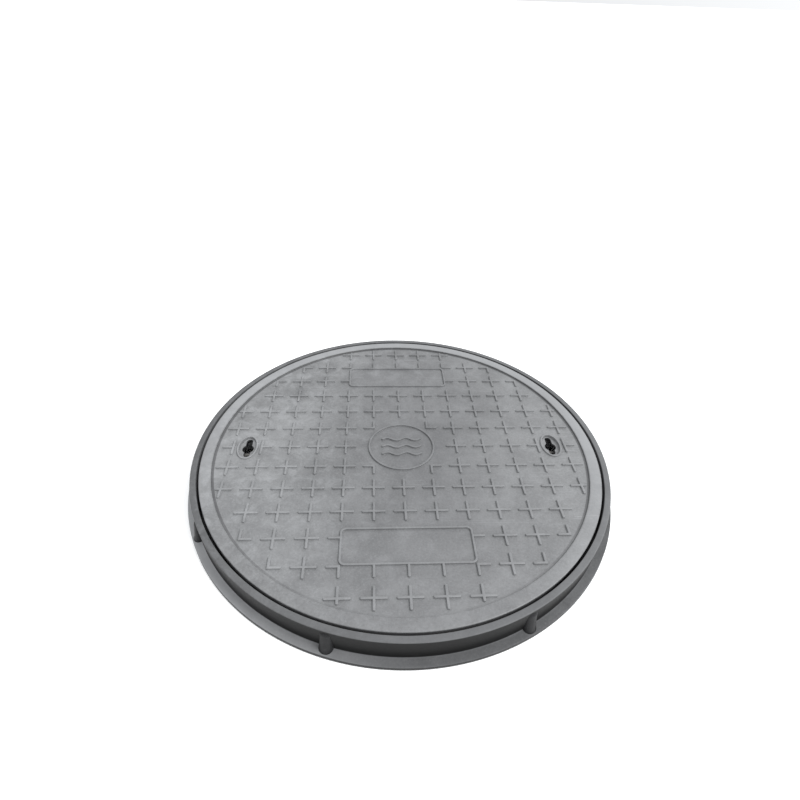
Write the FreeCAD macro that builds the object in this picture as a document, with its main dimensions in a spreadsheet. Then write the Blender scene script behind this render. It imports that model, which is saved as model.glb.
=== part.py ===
"""Round moulded-composite manhole cover in its frame.  Millimetres, +Z up, base centre at the origin."""
import math
import os

import FreeCAD
import Part
import Sketcher

V = FreeCAD.Vector
doc = FreeCAD.newDocument("manhole_cover")

# ---------------------------------------------------------------- driving dimensions
DIMENSIONS = [
    ("total_height", 50),
    ("flange_radius", 375),
    ("flange_root_height", 9),
    ("flange_edge_height", 7.5),
    ("wall_foot_radius", 362),
    ("wall_top_radius", 364),
    ("frame_inner_radius", 354),
    ("opening_radius", 325),
    ("ledge_height", 14),
    ("edge_break", 1.5),
    ("inner_edge_break", 1),
    ("lug_radius", 10),
    ("lug_height", 44),
    ("lug_azimuth", 26.8),
    ("lug_count", 8),
    ("groove_inner_radius", 330),
    ("groove_outer_radius", 348),
    ("groove_depth", 1),
    ("gasket_height", 3),
    ("gasket_bevel", 3),
    ("lid_radius", 350),
    ("lid_foot_radius", 347),
    ("band_inner_radius", 329),
    ("band_slope", 2),
    ("relief_height", 3),
    ("plate_underside", 36),
    ("rim_inner_radius", 316),
    ("rim_draft", 2),
    ("rib_count", 6),
    ("rib_spacing", 90),
    ("rib_thickness", 16),
    ("bar_radius", 4),
    ("bar_lower_level", 24),
    ("bar_upper_level", 32.6),
    ("bar_reach", 327),
    ("lid_hoop_radius", 337),
    ("lid_hoop_upper_level", 40),
    ("frame_hoop_inner_radius", 338),
    ("frame_hoop_outer_radius", 358.5),
    ("frame_hoop_outer_wire", 3),
    ("frame_hoop_level", 6.5),
    ("frame_hoop_top_level", 38),
    ("frame_hoop_top_wire", 2),
    ("overlap", 2),
    ("tread_sink", 1),
    ("tread_clearance", 2),
    ("tread_pitch", 50),
    ("tread_arm", 19),
    ("tread_short_arm", 9),
    ("tread_width", 5),
    ("tread_limit", 325),
    ("tread_last_centre", 321),
    ("tread_count", 13),
    ("plate_half_width", 102),
    ("plate_near_edge", 181),
    ("plate_far_edge", 249),
    ("plate_corner", 10),
    ("outline_width", 4.5),
    ("badge_radius", 60.5),
    ("keyhole_offset", 275),
    ("lip_half_width", 19),
    ("lip_half_length", 30.5),
    ("lip_height", 2.5),
    ("keyhole_wide_radius", 10),
    ("keyhole_narrow_radius", 5.5),
    ("keyhole_front_end", 14.5),
    ("keyhole_rear_end", 19.5),
    ("pocket_half_width", 14),
    ("pocket_half_length", 27),
    ("pocket_step", 1),
    ("boss_wall", 10),
    ("lift_bar_radius", 5),
    ("lift_bar_level", 27),
    ("lift_bar_length", 44),
]
dims = doc.addObject("Spreadsheet::Sheet", "dims")
for row, (alias, size) in enumerate(DIMENSIONS, start=1):
    dims.set(f"A{row}", alias)
    dims.set(f"B{row}", str(size))
    dims.setAlias(f"B{row}", alias)
doc.recompute()


def value(expression):
    """Number behind an expression on the sheet, in millimetres or degrees."""
    result = dims.evalExpression(expression)
    return float(getattr(result, "Value", result))


def bind(obj, **expressions):
    """Tie properties to the sheet; a double underscore stands for a dot."""
    for name, expression in expressions.items():
        obj.setExpression(name.replace("__", "."), expression)
    return obj


# ---------------------------------------------------------------- building blocks
def primitive(kind, label, **expressions):
    return bind(doc.addObject(f"Part::{kind}", label), **expressions)


def fuse(label, shapes):
    joined = doc.addObject("Part::MultiFuse", label)
    joined.Shapes = shapes
    joined.Refine = False
    return joined


def cut(label, base, tool):
    result = doc.addObject("Part::Cut", label)
    result.Base, result.Tool = base, tool
    result.Refine = False
    return result


def plane_of(body, role):
    return next(f for f in body.Origin.OriginFeatures if f.Role == role)


def section_sketch(body, label, corners):
    """Closed half-section (radius, level) drawn on the XZ plane, each corner bound to the sheet."""
    sketch = body.newObject("Sketcher::SketchObject", label)
    sketch.AttachmentSupport = (plane_of(body, "XZ_Plane"), [""])
    sketch.MapMode = "FlatFace"
    points = [V(value(r), value(z), 0) for r, z in corners]
    count = len(points)
    for i in range(count):
        sketch.addGeometry(Part.LineSegment(points[i], points[(i + 1) % count]), False)
    for i in range(count):
        sketch.addConstraint(Sketcher.Constraint("Coincident", i, 2, (i + 1) % count, 1))
    for i, (r, z) in enumerate(corners):
        for axis, kind, expression, along in (("r", "DistanceX", r, -2), ("z", "DistanceY", z, -1)):
            if expression == "0":
                sketch.addConstraint(Sketcher.Constraint("PointOnObject", i, 1, along))
                continue
            index = sketch.addConstraint(Sketcher.Constraint(kind, -1, 1, i, 1, value(expression)))
            sketch.renameConstraint(index, f"{axis}{i}")
            sketch.setExpression(f"Constraints.{axis}{i}", expression)
    return sketch


def turned_body(label, corners):
    """PartDesign body: a half-section revolved about Z."""
    body = doc.addObject("PartDesign::Body", label)
    sketch = section_sketch(body, f"{label}_section", corners)
    turn = body.newObject("PartDesign::Revolution", f"{label}_turn")
    turn.Profile = sketch
    turn.ReferenceAxis = (sketch, ["V_Axis"])
    turn.Angle = 360
    body.Tip = turn
    return body


def hoop(label, radius, wire, level):
    ring = primitive("Torus", label, Radius1=radius, Radius2=wire)
    return bind(ring, Placement__Base__z=level)


# ---------------------------------------------------------------- frame
frame_moulding = turned_body("frame_moulding", [
    ("dims.opening_radius", "0"),
    ("dims.flange_radius - dims.edge_break", "0"),
    ("dims.flange_radius", "dims.edge_break"),
    ("dims.flange_radius", "dims.flange_edge_height - dims.edge_break"),
    ("dims.flange_radius - dims.edge_break", "dims.flange_edge_height"),
    ("dims.wall_foot_radius", "dims.flange_root_height"),
    ("dims.wall_top_radius", "dims.total_height - dims.edge_break"),
    ("dims.wall_top_radius - dims.edge_break", "dims.total_height"),
    ("dims.frame_inner_radius + dims.inner_edge_break", "dims.total_height"),
    ("dims.frame_inner_radius", "dims.total_height - dims.inner_edge_break"),
    ("dims.frame_inner_radius", "dims.ledge_height"),
    ("dims.groove_outer_radius", "dims.ledge_height"),
    ("dims.groove_outer_radius", "dims.ledge_height - dims.groove_depth"),
    ("dims.groove_inner_radius", "dims.ledge_height - dims.groove_depth"),
    ("dims.groove_inner_radius", "dims.ledge_height"),
    ("dims.opening_radius", "dims.ledge_height"),
])
lug_sketch = frame_moulding.newObject("Sketcher::SketchObject", "lug_outline")
lug_sketch.AttachmentSupport = (plane_of(frame_moulding, "XY_Plane"), [""])
lug_sketch.MapMode = "FlatFace"
turn_to_lug = math.radians(value("dims.lug_azimuth"))
lug_centre = V(math.cos(turn_to_lug), math.sin(turn_to_lug), 0) * value("dims.wall_foot_radius")
lug_sketch.addGeometry(Part.Circle(lug_centre, V(0, 0, 1), value("dims.lug_radius")), False)
for name, kind, expression in (
        ("across", "DistanceX", "dims.wall_foot_radius * cos(dims.lug_azimuth)"),
        ("along", "DistanceY", "dims.wall_foot_radius * sin(dims.lug_azimuth)")):
    mark = lug_sketch.addConstraint(Sketcher.Constraint(kind, -1, 1, 0, 3, value(expression)))
    lug_sketch.renameConstraint(mark, name)
    lug_sketch.setExpression(f"Constraints.{name}", expression)
mark = lug_sketch.addConstraint(Sketcher.Constraint("Radius", 0, value("dims.lug_radius")))
lug_sketch.renameConstraint(mark, "size")
lug_sketch.setExpression("Constraints.size", "dims.lug_radius")
lug_pad = frame_moulding.newObject("PartDesign::Pad", "lug_pad")
lug_pad.Profile = lug_sketch
lug_pad.TaperAngle = -3
bind(lug_pad, Length="dims.lug_height")
lug_ring = frame_moulding.newObject("PartDesign::PolarPattern", "lug_ring")
lug_ring.Originals = [lug_pad]
lug_ring.Axis = (lug_sketch, ["N_Axis"])
lug_ring.Angle = 360
bind(lug_ring, Occurrences="dims.lug_count")
frame_moulding.Tip = lug_ring
inner_space = primitive("Cylinder", "frame_inner_space", Radius="dims.frame_inner_radius",
                        Height="dims.total_height - dims.ledge_height",
                        Placement__Base__z="dims.ledge_height")
frame_hoops = [
    hoop("frame_hoop_inner", "dims.frame_hoop_inner_radius", "dims.bar_radius", "dims.frame_hoop_level"),
    hoop("frame_hoop_outer", "dims.frame_hoop_outer_radius", "dims.frame_hoop_outer_wire",
         "dims.frame_hoop_level"),
    hoop("frame_hoop_top", "dims.frame_hoop_outer_radius", "dims.frame_hoop_top_wire",
         "dims.frame_hoop_top_level"),
]
frame_trimmed = cut("frame_trimmed", frame_moulding, inner_space)
frame_hoop_space = fuse("frame_hoop_space", frame_hoops)
frame = cut("frame", frame_trimmed, frame_hoop_space)

# ---------------------------------------------------------------- seat gasket
LID_FOOT = "dims.ledge_height - dims.groove_depth + dims.gasket_height"
seat_gasket = turned_body("seat_gasket", [
    ("dims.groove_inner_radius", "dims.ledge_height - dims.groove_depth"),
    ("dims.groove_outer_radius", "dims.ledge_height - dims.groove_depth"),
    ("dims.groove_outer_radius", "dims.ledge_height"),
    ("dims.groove_outer_radius - dims.gasket_bevel", LID_FOOT),
    ("dims.groove_inner_radius + dims.gasket_bevel", LID_FOOT),
    ("dims.groove_inner_radius", "dims.ledge_height"),
])

# ---------------------------------------------------------------- lid: disc, ribs, bosses
FIELD = "dims.total_height - dims.relief_height"
lid_disc = turned_body("lid_disc", [
    ("0", "dims.plate_underside"),
    ("dims.rim_inner_radius", "dims.plate_underside"),
    ("dims.rim_inner_radius + dims.rim_draft", LID_FOOT),
    ("dims.lid_foot_radius", LID_FOOT),
    ("dims.lid_radius", "dims.total_height - dims.edge_break"),
    ("dims.lid_radius - dims.edge_break", "dims.total_height"),
    ("dims.band_inner_radius + dims.band_slope", "dims.total_height"),
    ("dims.band_inner_radius", FIELD),
    ("0", FIELD),
])
ribs = []
RIB_DEPTH = f"dims.plate_underside + dims.overlap - ({LID_FOOT})"
RIB_SPAN = "2 * (dims.rim_inner_radius + dims.rim_draft) + dims.overlap"
RIB_OFFSETS = [f"({i} - (dims.rib_count - 1) / 2) * dims.rib_spacing"
               for i in range(int(value("dims.rib_count")))]
for i, offset in enumerate(RIB_OFFSETS):
    ribs.append(primitive(
        "Box", f"rib_across_{i + 1}", Length=RIB_SPAN, Width="dims.rib_thickness", Height=RIB_DEPTH,
        Placement__Base__x=f"-({RIB_SPAN}) / 2", Placement__Base__z=LID_FOOT,
        Placement__Base__y=f"{offset} - dims.rib_thickness / 2"))
    ribs.append(primitive(
        "Box", f"rib_along_{i + 1}", Length="dims.rib_thickness", Width=RIB_SPAN, Height=RIB_DEPTH,
        Placement__Base__y=f"-({RIB_SPAN}) / 2", Placement__Base__z=LID_FOOT,
        Placement__Base__x=f"{offset} - dims.rib_thickness / 2"))
rib_grid = fuse("rib_grid", ribs)
rib_limit = primitive("Cylinder", "rib_limit", Radius="dims.rim_inner_radius + 2 * dims.rim_draft",
                      Height="dims.total_height")
rib_field = doc.addObject("Part::Common", "rib_field")
rib_field.Base, rib_field.Tool = rib_grid, rib_limit
rib_field.Refine = False

SIDES = (("left", -1), ("right", 1))
lift_bars, bosses, spaces, lips = [], [], [], []


def oval(label, half_width, half_length, middle, level, depth):
    """Upright elliptical block, long axis along Y."""
    outline = primitive("Ellipse", f"{label}_outline", MajorRadius=half_length, MinorRadius=half_width,
                        Placement__Base__x=middle, Placement__Base__z=level)
    outline.Placement.Rotation = FreeCAD.Rotation(V(0, 0, 1), 90)
    block = doc.addObject("Part::Extrusion", label)
    block.Base = outline
    block.DirMode = "Custom"
    block.Dir = V(0, 0, 1)
    block.Solid = True
    bind(block, LengthFwd=depth)
    return block


for side, sign in SIDES:
    middle = f"{sign} * dims.keyhole_offset"
    bosses.append(primitive(
        "Box", f"keyhole_boss_{side}",
        Length="2 * (dims.pocket_half_width + dims.boss_wall)",
        Width="2 * (dims.pocket_half_length + dims.boss_wall)",
        Height=RIB_DEPTH,
        Placement__Base__x=f"{middle} - dims.pocket_half_width - dims.boss_wall",
        Placement__Base__y="-dims.pocket_half_length - dims.boss_wall", Placement__Base__z=LID_FOOT))
    spaces.append(primitive(
        "Box", f"keyhole_pocket_{side}",
        Length="2 * dims.pocket_half_width", Width="2 * dims.pocket_half_length",
        Height=f"dims.plate_underside - ({LID_FOOT}) + dims.pocket_step + dims.overlap",
        Placement__Base__x=f"{middle} - dims.pocket_half_width",
        Placement__Base__y="-dims.pocket_half_length", Placement__Base__z=f"{LID_FOOT} - dims.overlap"))
    spaces.append(primitive(
        "Cylinder", f"keyhole_wide_{side}", Radius="dims.keyhole_wide_radius",
        Height="dims.total_height", Placement__Base__x=middle,
        Placement__Base__z="dims.plate_underside - dims.overlap"))
    for end, place in (("front", "-dims.keyhole_front_end"), ("rear", "dims.keyhole_rear_end")):
        spaces.append(primitive(
            "Cylinder", f"keyhole_{end}_{side}", Radius="dims.keyhole_narrow_radius",
            Height="dims.total_height", Placement__Base__x=middle, Placement__Base__y=place,
            Placement__Base__z="dims.plate_underside - dims.overlap"))
    spaces.append(primitive(
        "Box", f"keyhole_slot_{side}", Length="2 * dims.keyhole_narrow_radius",
        Width="dims.keyhole_front_end + dims.keyhole_rear_end", Height="dims.total_height",
        Placement__Base__x=f"{middle} - dims.keyhole_narrow_radius",
        Placement__Base__y="-dims.keyhole_front_end",
        Placement__Base__z="dims.plate_underside - dims.overlap"))
    spaces.append(oval(f"keyhole_dish_{side}", "dims.lip_half_width - dims.outline_width",
                       "dims.lip_half_length - dims.outline_width", middle,
                       f"{FIELD} - dims.relief_height", "2 * dims.relief_height + dims.overlap"))
    lips.append(oval(f"keyhole_lip_{side}", "dims.lip_half_width", "dims.lip_half_length", middle,
                     f"{FIELD} - dims.tread_sink", "dims.lip_height + dims.tread_sink"))
    lift_bar = primitive(
        "Cylinder", f"lift_bar_{side}", Radius="dims.lift_bar_radius", Height="dims.lift_bar_length",
        Placement__Base__x=f"{middle} - dims.lift_bar_length / 2",
        Placement__Base__z="dims.lift_bar_level")
    lift_bar.Placement.Rotation = FreeCAD.Rotation(V(0, 1, 0), 90)
    lift_bars.append(lift_bar)


# ---------------------------------------------------------------- lid: raised tread
WAYS = ((1, 0), (0, 1), (-1, 0), (0, -1))
CLEARANCE = value("dims.tread_clearance")
RELIEF_FOOT = value(f"{FIELD} - dims.tread_sink")
RELIEF_DEPTH = value("dims.relief_height + dims.tread_sink")


def outline_block(corners):
    """Upright prism over a closed outline."""
    wire = Part.makePolygon([V(x, y, RELIEF_FOOT) for x, y in corners + corners[:1]])
    return Part.Face(wire).extrude(V(0, 0, RELIEF_DEPTH))


def cross_outline(x, y, east, north, west, south, half_width):
    """Outline of a cross about (x, y); an arm length equal to the half width means no arm."""
    w = half_width
    corners = [(east, w), (w, w), (w, north), (-w, north), (-w, w), (-west, w),
               (-west, -w), (-w, -w), (-w, -south), (w, -south), (w, -w), (east, -w)]
    kept = []
    for px, py in corners:
        if not kept or (px, py) != kept[-1]:
            kept.append((px, py))
    if kept[0] == kept[-1]:
        kept.pop()
    return [(x + px, y + py) for px, py in kept]


def at_panel(x, y):
    """True for a grid place that a plain panel or its outline covers."""
    return (abs(x) < value("dims.plate_half_width") + CLEARANCE
            and value("dims.plate_near_edge") - CLEARANCE < abs(y) < value("dims.plate_far_edge") + CLEARANCE)


def blocked(px, py):
    """Places the tread leaves clear: the badge, the two plain panels and the keyholes."""
    if math.hypot(px, py) < value("dims.badge_radius") + CLEARANCE:
        return True
    if at_panel(px, py):
        return True
    beside = abs(abs(px) - value("dims.keyhole_offset")) < value("dims.lip_half_width") + CLEARANCE / 2
    return beside and abs(py) < value("dims.lip_half_length") + CLEARANCE / 2


def arm_length(x, y, dx, dy):
    """Length of the arm that leaves (x, y) along (dx, dy): whole, cut short at the rim, or nothing."""
    for length in (value("dims.tread_arm"), value("dims.tread_short_arm")):
        px, py = x + length * dx, y + length * dy
        if math.hypot(px, py) < value("dims.tread_limit"):
            return 0 if blocked(px, py) else length
    return 0


def panel_arm(x, y, dx, dy, outer, half):
    """A lone arm that starts just outside a panel's outline."""
    room = value("dims.plate_half_width") - abs(x) if dx else value("dims.plate_far_edge") - abs(y)
    inner = room + CLEARANCE
    corners = [(inner, -half), (outer, -half), (outer, half), (inner, half)]
    return outline_block([(x + dx * p - dy * q, y + dy * p + dx * q) for p, q in corners])


def tread_blocks():
    """Every raised cross, with the arms that have room."""
    pitch, half = value("dims.tread_pitch"), value("dims.tread_width") / 2
    reach = int(value("dims.tread_count")) // 2
    blocks = []
    for column in range(-reach, reach + 1):
        for row in range(-reach, reach + 1):
            x, y = column * pitch, row * pitch
            if not value("dims.badge_radius") < math.hypot(x, y) < value("dims.tread_last_centre"):
                continue
            arms = [arm_length(x, y, dx, dy) for dx, dy in WAYS]
            if at_panel(x, y):
                blocks += [panel_arm(x, y, dx, dy, arm, half)
                           for (dx, dy), arm in zip(WAYS, arms) if arm]
            elif any(arms):
                arms = [max(arm, half) for arm in arms]
                blocks.append(outline_block(cross_outline(x, y, *arms, half)))
    return blocks


def rounded_panel(half_width, near, far, corner):
    block = Part.makeBox(2 * half_width, far - near, RELIEF_DEPTH, V(-half_width, near, RELIEF_FOOT))
    uprights = [e for e in block.Edges if abs(e.tangentAt(e.FirstParameter).z) > 0.9]
    return block.makeFillet(corner, uprights)


def panel_outlines():
    """Raised rounded rectangles, one each side of the badge."""
    width, corner = value("dims.outline_width"), value("dims.plate_corner")
    half, near, far = (value(f"dims.{n}") for n in ("plate_half_width", "plate_near_edge", "plate_far_edge"))
    ring = rounded_panel(half, near, far, corner).cut(
        rounded_panel(half - width, near + width, far - width, corner - width))
    return [ring, ring.mirror(V(0, 0, 0), V(0, 1, 0))]


def badge_blocks():
    """Raised ring with three plain wave bars inside."""
    radius, width = value("dims.badge_radius"), value("dims.outline_width")
    ring = Part.makeCylinder(radius, RELIEF_DEPTH, V(0, 0, RELIEF_FOOT)).cut(
        Part.makeCylinder(radius - width, RELIEF_DEPTH, V(0, 0, RELIEF_FOOT)))
    blocks = [ring]
    chord, rise, wave_gap, half_bar = 17.0, 3.2, 19.0, 2.75
    bend = chord * chord / (8 * rise) + rise / 2
    sweep = math.degrees(math.asin(chord / 2 / bend))
    for y in (-wave_gap, 0.0, wave_gap):
        wave = None
        for i in range(4):
            up = 1 if i % 2 == 0 else -1
            middle = V((i - 1.5) * chord, y - up * (bend - rise), RELIEF_FOOT)
            start = V(math.cos(math.radians(90 - sweep)), math.sin(math.radians(90 - sweep)), 0)
            if up < 0:
                start = V(-start.x, -start.y, 0)
            line = Part.makeLine(middle + start * (bend - half_bar), middle + start * (bend + half_bar))
            sector = line.revolve(middle, V(0, 0, 1), 2 * sweep).extrude(V(0, 0, RELIEF_DEPTH))
            wave = sector if wave is None else wave.fuse(sector)
        blocks.append(wave)
    return blocks


tread_relief = doc.addObject("Part::Feature", "tread_relief")
tread_relief.Shape = Part.makeCompound(tread_blocks() + panel_outlines() + badge_blocks())

# ---------------------------------------------------------------- lid steel
lid_steel = []
for i, offset in enumerate(RIB_OFFSETS):
    reach = f"sqrt(dims.bar_reach ^ 2 - ({offset}) ^ 2)"
    across = primitive("Cylinder", f"bar_across_{i + 1}", Radius="dims.bar_radius",
                       Height=f"2 * {reach}", Placement__Base__x=f"-{reach}",
                       Placement__Base__y=offset, Placement__Base__z="dims.bar_lower_level")
    across.Placement.Rotation = FreeCAD.Rotation(V(0, 1, 0), 90)
    along = primitive("Cylinder", f"bar_along_{i + 1}", Radius="dims.bar_radius",
                      Height=f"2 * {reach}", Placement__Base__y=f"{reach}",
                      Placement__Base__x=offset, Placement__Base__z="dims.bar_upper_level")
    along.Placement.Rotation = FreeCAD.Rotation(V(1, 0, 0), 90)
    lid_steel += [across, along]
lid_steel += [
    hoop("lid_hoop_lower", "dims.lid_hoop_radius", "dims.bar_radius", "dims.bar_lower_level"),
    hoop("lid_hoop_upper", "dims.lid_hoop_radius", "dims.bar_radius", "dims.lid_hoop_upper_level"),
]
lid_steel_space = fuse("lid_steel_space", lid_steel + lift_bars)

lid_blank = fuse("lid_blank", [lid_disc, rib_field, tread_relief] + bosses + lips)
keyhole_space = fuse("keyhole_space", spaces)
lid_opened = cut("lid_opened", lid_blank, keyhole_space)
lid = cut("lid", lid_opened, lid_steel_space)

# ---------------------------------------------------------------- check and write
doc.recompute()
for obj in doc.Objects:
    if {"Invalid", "Error"} & set(obj.State):
        raise RuntimeError(f"{obj.Name} did not rebuild: {obj.State}")

SUB_PARTS = [frame, *frame_hoops, seat_gasket, lid, *lid_steel, *lift_bars]
os.makedirs("parts", exist_ok=True)
for part in SUB_PARTS:
    shape = part.Shape
    if shape.isNull() or not shape.isValid():
        raise RuntimeError(f"{part.Label} has no valid shape")
    solids = len(shape.Solids)
    if solids != 1:
        raise RuntimeError(f"{part.Label} is {solids} solids, not one")
    shape.exportStep(f"parts/{part.Label}.step")
    print(f"{part.Label}: {shape.Volume / 1000:.1f} cm3")
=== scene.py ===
"""A round moulded-composite manhole cover: the finished look of its lid, frame, ring and steel."""
import math

import bmesh
import bpy
import numpy as np
from bpy.props import FloatProperty, FloatVectorProperty, IntProperty, PointerProperty
from mathutils import Matrix, Vector


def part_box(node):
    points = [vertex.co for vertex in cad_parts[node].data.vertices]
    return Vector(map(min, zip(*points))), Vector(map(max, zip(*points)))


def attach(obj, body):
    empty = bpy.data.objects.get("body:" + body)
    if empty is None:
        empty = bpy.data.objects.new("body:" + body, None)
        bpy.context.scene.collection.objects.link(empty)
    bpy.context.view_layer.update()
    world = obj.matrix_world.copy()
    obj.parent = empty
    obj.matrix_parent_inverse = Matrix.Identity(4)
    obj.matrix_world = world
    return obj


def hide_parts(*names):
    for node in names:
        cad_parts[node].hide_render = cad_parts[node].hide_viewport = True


bl_info = {
    "name": "Composite Manhole Cover",
    "version": (1, 0, 0),
    "blender": (4, 5, 0),
    "location": "View3D > Sidebar > Cover",
    "description": "Moulded lid with a cross tread, flanged frame, seat ring and lifting steel",
    "category": "Object",
}

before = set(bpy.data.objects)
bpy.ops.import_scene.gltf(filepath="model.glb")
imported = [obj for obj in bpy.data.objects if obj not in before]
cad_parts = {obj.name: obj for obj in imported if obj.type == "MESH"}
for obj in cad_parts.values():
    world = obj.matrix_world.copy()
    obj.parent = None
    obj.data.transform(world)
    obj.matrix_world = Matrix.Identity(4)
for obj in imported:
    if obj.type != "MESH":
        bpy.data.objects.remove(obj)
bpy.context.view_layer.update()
LID_LOW, LID_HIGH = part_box("lid")
_, FRAME_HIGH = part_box("frame")
SEAT_LOW, SEAT_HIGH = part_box("seat_gasket")
LIFT_LOW, LIFT_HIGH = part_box("lift_bar_right")

MM = 0.001
ROUND_STEPS = 360
SEAT_INNER = SEAT_HIGH.x - 18.0 * MM
RIDGE_SLOPE = 1.3 * MM


# ---------------------------------------------------------------- sizes and colours
def distance(name, description, default):
    """A length in metres that a user may change."""
    return FloatProperty(name=name, description=description, default=default, unit="LENGTH",
                         precision=4, min=0.0)


def colour(name, description, default):
    return FloatVectorProperty(name=name, description=description, default=default, size=3,
                               subtype="COLOR", min=0.0, max=1.0)


class LidSizes(bpy.types.PropertyGroup):
    """The moulded disc, from its plain outer band to the pockets under it."""
    radius: distance("Radius", "Outside radius at the top edge", LID_HIGH.x)
    top: distance("Top", "Level of the walking surface", LID_HIGH.z)
    foot: distance("Foot", "Level of the rim and ribs underneath", LID_LOW.z)
    draft: distance("Draft", "How far the side draws in towards the foot", 3.0 * MM)
    edge: distance("Edge", "Rounding of the top edge", 1.6 * MM)
    field_depth: distance("Field depth", "How far the tread field lies below the band", 3.0 * MM)
    field_radius: distance("Field radius", "Radius of the sunk tread field", 329.0 * MM)
    plate: distance("Plate", "Level of the plate's underside between the ribs", 36.0 * MM)
    rim_radius: distance("Rim radius", "Inside radius of the rim underneath", 316.0 * MM)
    rib_pitch: distance("Rib pitch", "Distance between ribs", 90.0 * MM)
    rib_width: distance("Rib width", "Thickness of a rib at its foot", 16.0 * MM)


class TreadSizes(bpy.types.PropertyGroup):
    """The grid of raised crosses and the plain outlines that it leaves room for."""
    pitch: distance("Pitch", "Distance between crosses", 50.0 * MM)
    count: IntProperty(name="Count", description="Crosses along one side of the grid",
                       default=13, min=1)
    arm: distance("Arm", "Centre of a cross to the tip of an arm", 19.0 * MM)
    short_arm: distance("Short arm", "Length of an arm that the rim cuts short", 9.0 * MM)
    top_half: distance("Top half width", "Half the width of a ridge along its top", 1.5 * MM)
    foot_half: distance("Foot half width", "Half the width of a ridge at its foot", 2.3 * MM)
    height: distance("Height", "How far the ridges stand up", 3.0 * MM)
    limit: distance("Limit", "Radius that no arm reaches past", 325.0 * MM)
    last_centre: distance("Last centre", "Radius of the outermost cross centres", 321.0 * MM)


class OutlineSizes(bpy.types.PropertyGroup):
    """The two plain panels and the badge."""
    half_width: distance("Half width", "Half the width of a panel over its ridge", 102.0 * MM)
    near: distance("Near edge", "Panel edge next to the badge", 181.0 * MM)
    far: distance("Far edge", "Panel edge next to the rim", 249.0 * MM)
    corner: distance("Corner", "Rounding of a panel's corners", 10.0 * MM)
    ridge: distance("Ridge", "Width of the outline ridges at their foot", 4.8 * MM)
    badge: distance("Badge", "Outside radius of the badge ring", 60.5 * MM)
    height: distance("Height", "How far the outlines stand up", 2.9 * MM)
    wave_length: distance("Wave length", "Length of one full wave in the badge", 34.0 * MM)
    wave_height: distance("Wave height", "Rise of a wave above its middle line", 3.2 * MM)
    wave_gap: distance("Wave gap", "Distance between the wave bars", 19.0 * MM)


class KeyholeSizes(bpy.types.PropertyGroup):
    """The two lifting keyholes."""
    offset: distance("Offset", "Keyhole centre from the lid's centre",
                     (LIFT_LOW.x + LIFT_HIGH.x) / 2)
    half_width: distance("Half width", "Half the width over the oval lip", 19.0 * MM)
    half_length: distance("Half length", "Half the length over the oval lip", 30.5 * MM)
    lip: distance("Lip", "Width of the lip", 4.5 * MM)
    lip_height: distance("Lip height", "How far the lip stands above the field", 2.5 * MM)
    dish: distance("Dish", "Depth of the oval floor below the field", 3.0 * MM)
    wide: distance("Wide radius", "Radius of the round middle of the hole", 10.0 * MM)
    narrow: distance("Narrow radius", "Half the width of the slot through it", 5.5 * MM)
    front: distance("Front end", "Centre of the slot's front end from the middle", 14.5 * MM)
    rear: distance("Rear end", "Centre of the slot's rear end from the middle", 19.4 * MM)
    pocket_width: distance("Pocket half width", "Half the width of the pocket below", 14.0 * MM)
    pocket_length: distance("Pocket half length", "Half the length of the pocket below", 27.0 * MM)
    boss_wall: distance("Boss wall", "Thickness of the wall round the pocket", 10.0 * MM)


class FrameSizes(bpy.types.PropertyGroup):
    """The ring that the lid sits in."""
    flange: distance("Flange radius", "Outside radius of the base flange", FRAME_HIGH.x)
    flange_edge: distance("Flange edge", "Height of the flange at its edge", 7.5 * MM)
    flange_root: distance("Flange root", "Height of the flange where it meets the wall", 9.0 * MM)
    wall_foot: distance("Wall foot", "Outside radius of the wall above the flange", 362.0 * MM)
    wall_top: distance("Wall top", "Outside radius of the wall at the top", 364.0 * MM)
    bore: distance("Inside radius", "Inside radius of the wall round the lid", 354.0 * MM)
    opening: distance("Clear opening", "Radius of the way through", 325.0 * MM)
    ledge: distance("Ledge", "Level of the ledge that the lid sits over", 14.0 * MM)
    top: distance("Top", "Level of the rim", FRAME_HIGH.z)
    lug: distance("Lug radius", "Radius of the half-round lugs on the wall", 10.0 * MM)
    lug_top: distance("Lug top", "Level of the top of the lugs", 44.0 * MM)
    lug_count: IntProperty(name="Lugs", description="Number of lugs", default=8, min=1)
    lug_turn: FloatProperty(name="Lug turn", default=math.radians(26.8), subtype="ANGLE",
                            description="Direction of the first lug from the X axis")


class Finishes(bpy.types.PropertyGroup):
    """Colours of the materials."""
    resin: colour("Resin", "Moulded compound", (0.173, 0.175, 0.178))
    # Pale resin is real scuffing and pale mottle. It is also the painted sheen on the field and the
    # band, and the painted highlights on the ridges' tops.
    resin_pale_and_sheen: colour("Pale resin", "Scuffed and chalky compound", (0.29, 0.295, 0.303))
    # Dark resin is mostly painted shade: in the step's corner, in the gap round the lid, inside the
    # keyholes and the ring, and over the middle. It is also the dark mottle and speckle.
    resin_dark_and_shade: colour("Dark resin", "Grime in corners and joints", (0.028, 0.028, 0.030))
    # Painted light: a pale colour on the flange, strongest to the left and back, where the wall's
    # shadow falls on it.
    flange_painted_light: colour("Dusty", "Settled dust on the flange", (0.44, 0.445, 0.455))
    # Painted shade: a near-black colour on the frame's outside wall and the flange's outer edge,
    # which face away from the light.
    wall: colour("Wall", "Unfaded compound on the frame's outside wall", (0.010, 0.010, 0.010))
    rubber: colour("Rubber", "Seat ring", (0.022, 0.022, 0.024))
    steel: colour("Steel", "Bars and hoops", (0.15, 0.145, 0.14))
    rust: colour("Rust", "Light rust on the steel", (0.20, 0.085, 0.035))
    floor: colour("Floor", "Plain pale floor", (0.86, 0.86, 0.86))


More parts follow.
